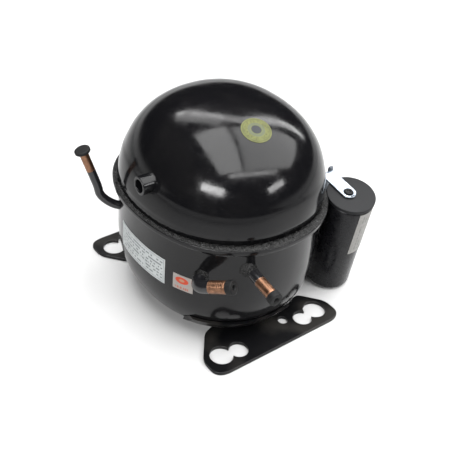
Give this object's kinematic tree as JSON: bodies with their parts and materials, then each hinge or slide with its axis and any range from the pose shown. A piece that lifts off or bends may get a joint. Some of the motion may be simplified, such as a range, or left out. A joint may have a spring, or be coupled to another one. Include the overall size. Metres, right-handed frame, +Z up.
{
  "type": "hermetic reciprocating compressor",
  "caption": "Hermetic reciprocating refrigeration compressor: oval welded steel shell on two slotted feet, copper tube stubs, side-mounted capacitor, with a sprung motor and piston pump inside.",
  "frame": {"origin": "centre of the mounting hole pattern, on the plane of the feet undersides and the shell bottom", "axes": "+X along the feet towards the terminals and capacitor, +Y towards the rear foot, +Z up"},
  "size_m": [0.2145, 0.2196, 0.1826],
  "materials": {
    "shell_paint": "gloss black enamel",
    "weld": "rough weld bead, painted over",
    "copper": "bare copper",
    "rubber": "matt moulded rubber",
    "cap_plastic": "fine matt moulding",
    "can_plastic": "satin moulding",
    "cover_plastic": "satin moulding",
    "zinc": "bright zinc plate",
    "steel": "bright steel",
    "pale_label": "satin printed film",
    "white_label": "satin printed film",
    "yellow_label": "satin printed film",
    "cast_iron": "machined casting",
    "lamination": "stacked sheet edges",
    "enamel": "enamelled copper wire",
    "aluminium": "die casting",
    "nylon": "moulded nylon",
    "lead": "sleeved wire"
  },
  "bodies": {
    "shell": {"lower_shell": "shell_paint", "upper_shell": "shell_paint", "shell_weld_bead": "weld", "front_foot": "shell_paint", "rear_foot": "shell_paint", "suction_tube": "copper", "process_tube": "copper", "discharge_tube": "copper", "suction_braze": "weld", "process_braze": "weld", "side_stub": "shell_paint", "hermetic_terminal": "steel", "terminal_pin_start": "steel", "terminal_pin_common": "steel", "terminal_pin_run": "steel", "terminal_fence": "zinc", "start_relay": "cover_plastic", "overload_protector": "can_plastic", "terminal_cover": "cover_plastic", "capacitor_can": "can_plastic", "capacitor_cap": "cap_plastic", "capacitor_bracket": "zinc", "bracket_screw": "steel", "nameplate_label": "pale_label", "square_label": "white_label", "ring_label": "yellow_label", "capacitor_label": "pale_label", "suspension_spring_1": "steel", "suspension_spring_2": "steel", "suspension_spring_3": "steel", "suspension_spring_4": "steel", "discharge_shock_loop": "copper", "cluster_plug": "nylon", "motor_leads": "lead"},
    "pump": {"crankcase": "cast_iron", "stator_core": "lamination", "stator_windings": "enamel", "stator_bolt_1": "steel", "stator_bolt_2": "steel", "stator_bolt_3": "steel", "stator_bolt_4": "steel", "valve_plate": "steel", "cylinder_head": "aluminium", "head_bolt_1": "steel", "head_bolt_2": "steel", "head_bolt_3": "steel", "head_bolt_4": "steel", "suction_muffler": "nylon"},
    "crankshaft": {"crankshaft": "cast_iron", "rotor_core": "lamination", "rotor_cage": "aluminium"},
    "piston": {"piston": "cast_iron", "wrist_pin": "steel"},
    "connecting_rod": {"connecting_rod": "aluminium"},
    "suction_reed": {"suction_reed": "steel"},
    "discharge_reed": {"discharge_reed": "steel"},
    "suction_plug": {"suction_plug": "rubber"},
    "process_plug": {"process_plug": "rubber"},
    "discharge_cap": {"discharge_cap": "rubber"}
  },
  "joints": [
    {"name": "suspension_bounce", "type": "slide", "parent": "shell", "child": "pump", "axis": [0, 0, 1], "range_m": [-0.002, 0.002], "stiffness_N_per_m": 20000, "springref_m": 0.00159, "deforming": ["suspension_spring_1", "suspension_spring_2", "suspension_spring_3", "suspension_spring_4", "discharge_shock_loop", "motor_leads"]},
    {"name": "crank_spin", "type": "hinge", "parent": "pump", "child": "crankshaft", "pos_m": [0, 0, 0.1], "axis": [0, 0, 1], "continuous": true},
    {"name": "piston_stroke", "type": "slide", "parent": "pump", "child": "piston", "axis": [0, 1, 0], "range_m": [-0.016, 0]},
    {"name": "rod_swing", "type": "hinge", "parent": "piston", "child": "connecting_rod", "pos_m": [0, 0.043, 0.126], "axis": [0, 0, 1], "range_deg": [-13, 13]},
    {"name": "suction_reed_flex", "type": "hinge", "parent": "pump", "child": "suction_reed", "pos_m": [0, 0.05375, 0.116], "axis": [1, 0, 0], "range_deg": [0, 2.3], "stiffness_Nm_per_rad": 0.02},
    {"name": "discharge_reed_flex", "type": "hinge", "parent": "pump", "child": "discharge_reed", "pos_m": [0, 0.05775, 0.116], "axis": [-1, 0, 0], "range_deg": [0, 5], "stiffness_Nm_per_rad": 0.02},
    {"name": "suction_plug_pull", "type": "slide", "parent": "shell", "child": "suction_plug", "axis": [0.402, -0.8242, 0.3987], "range_m": [0, 0.015]},
    {"name": "process_plug_pull", "type": "slide", "parent": "shell", "child": "process_plug", "axis": [-0.0869, -0.9938, -0.0698], "range_m": [0, 0.015]},
    {"name": "discharge_cap_pull", "type": "slide", "parent": "shell", "child": "discharge_cap", "axis": [-0.2917, 0.136, 0.9468], "range_m": [0, 0.014]}
  ]
}
